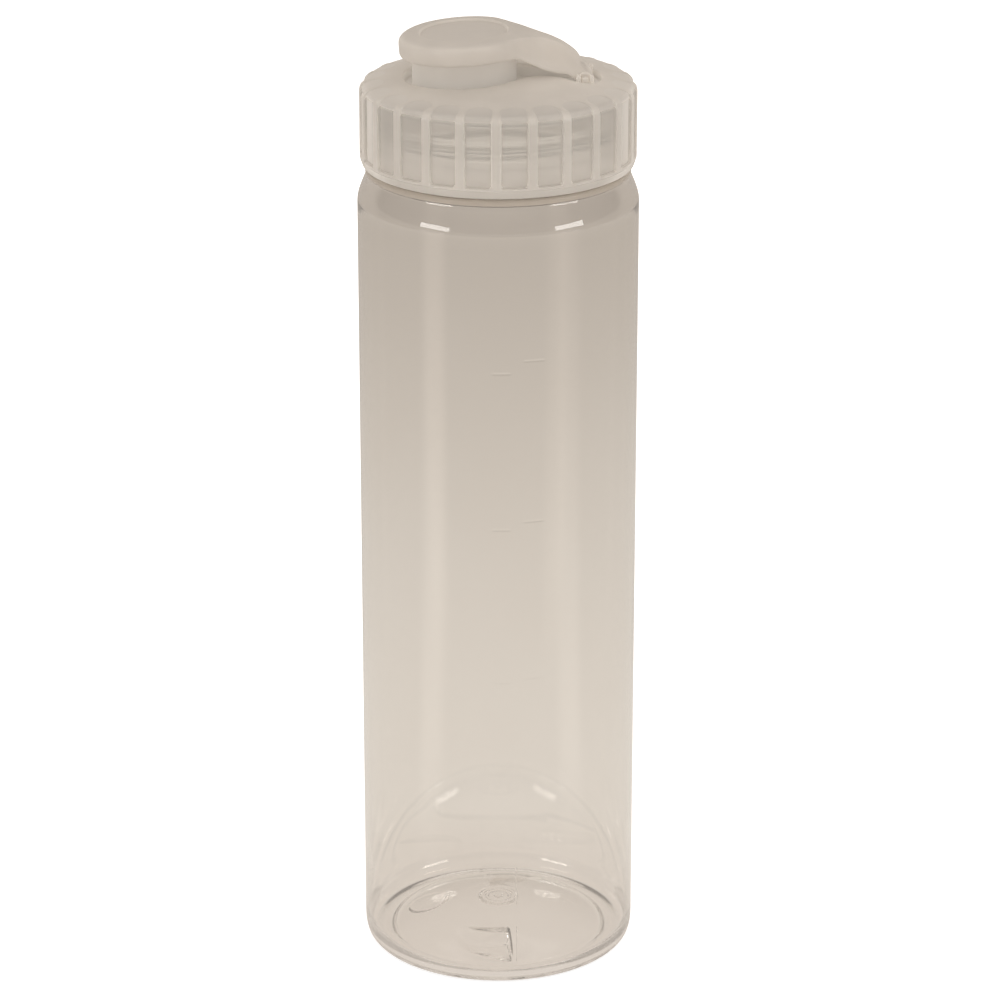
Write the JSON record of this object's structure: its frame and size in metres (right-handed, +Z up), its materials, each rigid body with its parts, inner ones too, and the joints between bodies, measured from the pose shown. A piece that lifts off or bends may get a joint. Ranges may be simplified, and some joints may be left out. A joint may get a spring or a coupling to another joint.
{
  "type": "bottle with flip-top screw cap",
  "caption": "Tall straight-sided clear bottle with a pushed-up base, a wide ribbed screw cap and a hinged teardrop flip lid that closes over an offset drinking spout.",
  "frame": {"origin": "centre of the foot ring, in the plane the bottle stands on", "axes": "+Z runs up the bottle; the lid hinge is on the +X side and the spout on the -X side"},
  "size_m": [0.073, 0.073, 0.2539],
  "materials": {
    "clear_plastic": "clear blown polyester, glossy, very slightly warm grey",
    "milky_plastic": "natural translucent polypropylene, satin ribs and deck, clearer pocket floors",
    "soft_seal": "soft white foamed liner",
    "milky_plastic_lid": "natural translucent polypropylene, satin"
  },
  "bodies": {
    "bottle_body": {"bottle": "clear_plastic"},
    "seal_body": {"seal_ring": "soft_seal"},
    "cap_body": {"cap": "milky_plastic"},
    "lid_body": {"lid": "milky_plastic_lid"}
  },
  "joints": [
    {"name": "cap_lift", "type": "slide", "parent": "bottle_body", "child": "seal_body", "axis": [0, 0, 1], "range_m": [0, 0.0053]},
    {"name": "cap_turn", "type": "hinge", "parent": "seal_body", "child": "cap_body", "pos_m": [0, 0, 0.2386], "axis": [0, 0, 1], "range_deg": [0, 450]},
    {"name": "lid_hinge", "type": "hinge", "parent": "cap_body", "child": "lid_body", "pos_m": [0.0222, 0, 0.2416], "axis": [0, 1, 0], "range_deg": [0, 105]}
  ],
  "couplings": [
    {"joint": "cap_lift", "follows": "cap_turn", "m_per_rad": 0.0006737}
  ]
}
